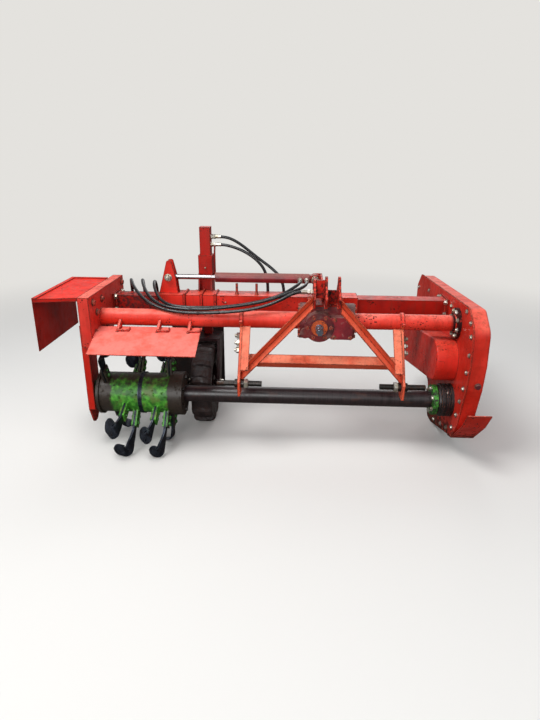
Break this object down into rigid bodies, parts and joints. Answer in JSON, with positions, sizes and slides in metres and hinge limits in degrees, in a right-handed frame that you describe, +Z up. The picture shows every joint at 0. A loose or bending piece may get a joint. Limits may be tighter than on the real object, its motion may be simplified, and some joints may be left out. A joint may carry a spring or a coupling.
{
  "type": "paddy levee former",
  "caption": "Three-point mounted levee former: powered rotor with bent blades, drive case, hitch frame, shifting carriage with a gauge wheel.",
  "frame": {"origin": "on the floor under the middle of the machine's outline", "axes": "+X along the rotor from the side hood to the drive case, +Y rearwards away from the tractor, +Z up"},
  "size_m": [2.227, 1.3116, 1.124],
  "materials": {
    "red_paint": "weathered",
    "maroon_paint": "weathered",
    "green_paint": "muddy",
    "blade_steel": "worn",
    "shaft_steel": "oily",
    "chrome_rod": "polished",
    "zinc_steel": "dull",
    "seal_rubber": "dirty",
    "tyre": "muddy",
    "rim_paint": "weathered",
    "hose_rubber": "matt",
    "black_cast": "oily"
  },
  "bodies": {
    "frame": {"left_tube": "red_paint", "right_tube": "red_paint", "main_beam": "red_paint", "end_plate": "red_paint", "bearing_arm": "red_paint", "rotor_bearing": "green_paint", "side_hood": "red_paint", "front_cover": "red_paint", "cover_lugs": "red_paint", "hitch_bracket_left": "red_paint", "hitch_bracket_right": "red_paint", "hitch_pin_left": "zinc_steel", "hitch_pin_right": "zinc_steel", "tube_straps": "red_paint", "cross_bar": "red_paint", "gearbox_housing": "maroon_paint", "gearbox_lid": "maroon_paint", "input_seal": "seal_rubber", "mast_base": "red_paint", "mast_ears": "red_paint", "mast_side": "red_paint", "cylinder_anchor": "red_paint", "mast_braces": "red_paint", "case_plate": "red_paint", "drive_case": "red_paint", "case_guard": "red_paint", "rear_drive": "red_paint", "seal_housing": "black_cast", "shift_barrel": "maroon_paint", "hose_ports": "zinc_steel", "hose_shift_a": "hose_rubber", "hose_shift_b": "hose_rubber", "hose_supply": "hose_rubber", "hose_couplers": "zinc_steel"},
    "rotor": {"rotor_drum": "green_paint", "rotor_shaft": "shaft_steel", "drive_flange": "green_paint", "rotor_blades": "blade_steel"},
    "carriage": {"beam_sleeve": "red_paint", "clamp_studs": "zinc_steel", "rod_bracket": "red_paint", "shift_rod": "chrome_rod", "post_clamp": "red_paint", "post_gussets": "red_paint", "wheel_post": "red_paint", "lift_fittings": "zinc_steel", "hose_lift_upper": "hose_rubber", "hose_lift_lower": "hose_rubber"},
    "wheel_leg": {"wheel_leg": "red_paint", "fork_arm": "red_paint"},
    "gauge_wheel": {"wheel_tyre": "tyre", "wheel_rim": "rim_paint"},
    "input_shaft": {"pto_shaft": "zinc_steel"}
  },
  "joints": [
    {"name": "rotor_spin", "type": "hinge", "parent": "frame", "child": "rotor", "pos_m": [-0.6615, -0.35339, 0.288], "axis": [1, 0, 0], "continuous": true},
    {"name": "input_spin", "type": "hinge", "parent": "frame", "child": "input_shaft", "pos_m": [0.2865, -0.45339, 0.698], "axis": [0, 1, 0], "continuous": true},
    {"name": "carriage_slide", "type": "slide", "parent": "frame", "child": "carriage", "axis": [1, 0, 0], "range_m": [0, 0.2]},
    {"name": "leg_lift", "type": "slide", "parent": "carriage", "child": "wheel_leg", "axis": [0, 0, 1], "range_m": [-0.1, 0.07]},
    {"name": "wheel_spin", "type": "hinge", "parent": "wheel_leg", "child": "gauge_wheel", "pos_m": [-0.3535, -0.06139, 0.235], "axis": [1, 0, 0], "continuous": true}
  ],
  "couplings": [
    {"joint": "input_spin", "follows": "rotor_spin", "ratio": 2}
  ]
}
